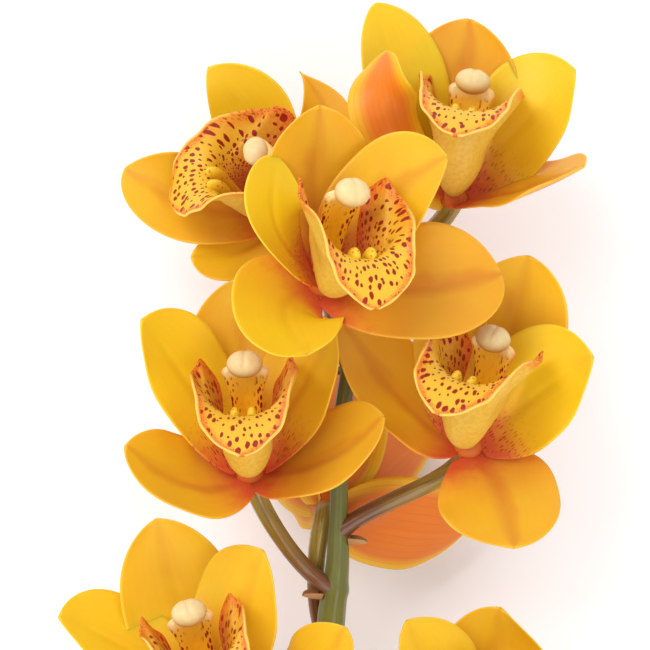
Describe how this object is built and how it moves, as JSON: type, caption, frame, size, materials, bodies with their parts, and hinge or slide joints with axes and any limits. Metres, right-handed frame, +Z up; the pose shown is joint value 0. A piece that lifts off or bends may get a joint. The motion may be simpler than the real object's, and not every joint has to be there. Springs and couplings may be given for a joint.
{
  "type": "cymbidium orchid stem",
  "caption": "Cut stem of golden yellow cymbidium orchids with spotted lips, lying on a flat surface on its cut end and a downturned bloom.",
  "frame": {"origin": "on the surface that the stem lies on, below the middle of the whole stem's box", "axes": "+Y along the stem from its cut end to its tip, +Z up off the surface, +X to the right of someone who looks down on it with the tip away from them"},
  "size_m": [0.2018, 0.5504, 0.135],
  "materials": {
    "stem": "living green flower stem, satin, faintly ribbed",
    "stalk": "glossy flower stalk, brown turning olive",
    "sheath": "dry papery sheath and bract, matt, fine long veins",
    "tepal": "waxy golden sepals and petals, soft satin, fine long veins, orange towards the heart",
    "lip": "waxy yellow lip with maroon spots and an orange stippled margin",
    "column": "waxy yellow column, streaked red-orange beneath",
    "cap": "pale cream cap over the pollen, satin"
  },
  "bodies": {
    "root": {"stem": "stem", "sheath_1": "sheath", "sheath_2": "sheath", "sheath_3": "sheath", "bloom_1_stalk": "stalk", "bloom_1_bract": "sheath", "bloom_1_tepals": "tepal", "bloom_1_lip": "lip", "bloom_1_column": "column", "bloom_1_cap": "cap", "bloom_2_stalk": "stalk", "bloom_2_bract": "sheath", "bloom_2_tepals": "tepal", "bloom_2_lip": "lip", "bloom_2_column": "column", "bloom_2_cap": "cap", "bloom_3_stalk": "stalk", "bloom_3_bract": "sheath", "bloom_3_tepals": "tepal", "bloom_3_lip": "lip", "bloom_3_column": "column", "bloom_3_cap": "cap", "bloom_4_stalk": "stalk", "bloom_4_bract": "sheath", "bloom_4_tepals": "tepal", "bloom_4_lip": "lip", "bloom_4_column": "column", "bloom_4_cap": "cap", "bloom_5_stalk": "stalk", "bloom_5_bract": "sheath", "bloom_5_tepals": "tepal", "bloom_5_lip": "lip", "bloom_5_column": "column", "bloom_5_cap": "cap", "bloom_6_stalk": "stalk", "bloom_6_bract": "sheath", "bloom_6_tepals": "tepal", "bloom_6_lip": "lip", "bloom_6_column": "column", "bloom_6_cap": "cap", "bloom_7_stalk": "stalk", "bloom_7_bract": "sheath", "bloom_7_tepals": "tepal", "bloom_7_lip": "lip", "bloom_7_column": "column", "bloom_7_cap": "cap", "bloom_8_stalk": "stalk", "bloom_8_bract": "sheath", "bloom_8_tepals": "tepal", "bloom_8_lip": "lip", "bloom_8_column": "column", "bloom_8_cap": "cap"}
  },
  "joints": []
}
